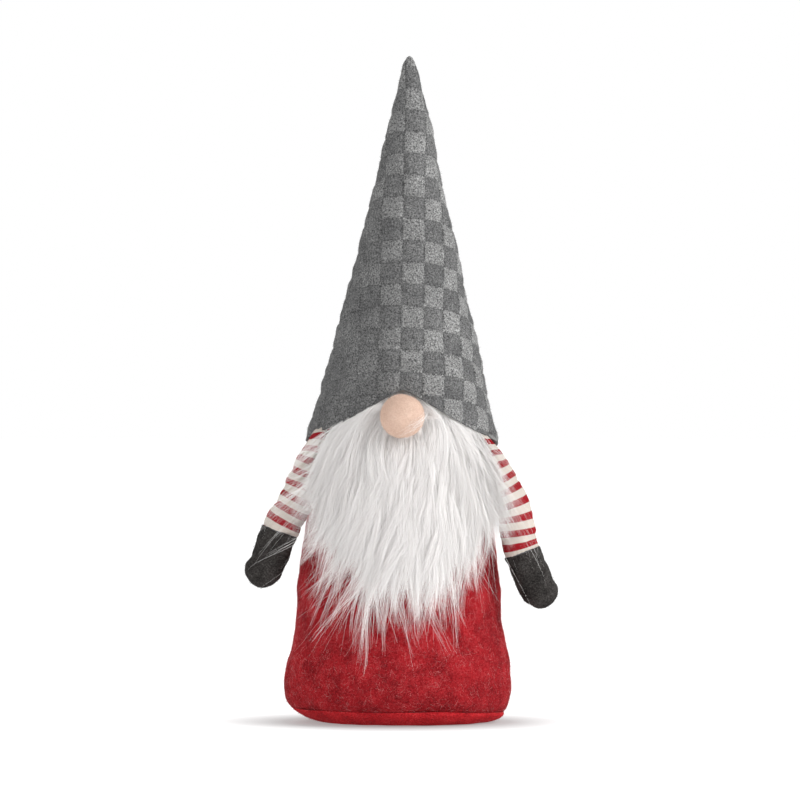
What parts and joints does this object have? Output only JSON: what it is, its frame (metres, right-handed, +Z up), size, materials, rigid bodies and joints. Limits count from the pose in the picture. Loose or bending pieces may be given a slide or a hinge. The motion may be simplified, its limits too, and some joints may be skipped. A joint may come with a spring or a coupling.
{
  "type": "tomte gnome figurine",
  "caption": "Standing felt gnome with a weighted round robe, tall pointed hat, ball nose, liftable fur beard and floppy stuffed arms; a seasonal folk decoration.",
  "frame": {"origin": "centre of the round base, on the surface that the gnome stands on", "axes": "+Z up through the body, -Y the way the gnome faces, +X towards its left arm"},
  "size_m": [0.2323, 0.1801, 0.4999],
  "materials": {
    "robe_felt": "matte",
    "hat_felt": "matte",
    "nose_felt": "matte",
    "mitten_felt": "matte",
    "striped_jersey": "matte",
    "fur_pile": "satin",
    "fur_backing": "matte",
    "stuffing": "matte",
    "cotton": "matte",
    "pellets": "satin",
    "board": "matte",
    "robe_thread": "matte",
    "hat_thread": "matte",
    "mitten_thread": "matte",
    "light_thread": "matte"
  },
  "bodies": {
    "torso": {"base_panel": "robe_felt", "base_stiffener": "board", "weight_pouch": "cotton", "weight_pellets": "pellets", "robe_shell": "robe_felt", "body_stuffing": "stuffing", "base_seam_thread": "robe_thread", "robe_back_thread": "robe_thread", "hat_shell": "hat_felt", "hat_stuffing": "stuffing", "hat_back_thread": "hat_thread", "brim_thread": "hat_thread", "nose_cover": "nose_felt", "nose_stuffing": "stuffing", "nose_thread": "light_thread", "beard_backing_upper": "fur_backing", "beard_pile_upper": "fur_pile", "beard_thread": "light_thread"},
    "beard_flap": {"beard_backing_lower": "fur_backing", "beard_pile_lower": "fur_pile"},
    "right_shoulder": {"right_shoulder_thread": "light_thread"},
    "right_arm": {"right_sleeve": "striped_jersey", "right_arm_stuffing": "stuffing", "right_mitten": "mitten_felt", "right_cuff_thread": "mitten_thread"},
    "left_shoulder": {"left_shoulder_thread": "light_thread"},
    "left_arm": {"left_sleeve": "striped_jersey", "left_arm_stuffing": "stuffing", "left_mitten": "mitten_felt", "left_cuff_thread": "mitten_thread"}
  },
  "joints": [
    {"name": "beard_lift", "type": "hinge", "parent": "torso", "child": "beard_flap", "pos_m": [0, -0.06542, 0.212], "axis": [-1, 0, 0], "range_deg": [0, 45]},
    {"name": "right_arm_swing", "type": "hinge", "parent": "torso", "child": "right_shoulder", "pos_m": [-0.07006, -0.03267, 0.195], "axis": [-1, 0, 0], "range_deg": [-45, 90]},
    {"name": "right_arm_raise", "type": "hinge", "parent": "right_shoulder", "child": "right_arm", "pos_m": [-0.07006, -0.03267, 0.195], "axis": [0, 1, 0], "range_deg": [0, 70]},
    {"name": "left_arm_swing", "type": "hinge", "parent": "torso", "child": "left_shoulder", "pos_m": [0.07006, -0.03267, 0.19], "axis": [-1, 0, 0], "range_deg": [-45, 90]},
    {"name": "left_arm_raise", "type": "hinge", "parent": "left_shoulder", "child": "left_arm", "pos_m": [0.07006, -0.03267, 0.19], "axis": [0, -1, 0], "range_deg": [0, 70]}
  ]
}
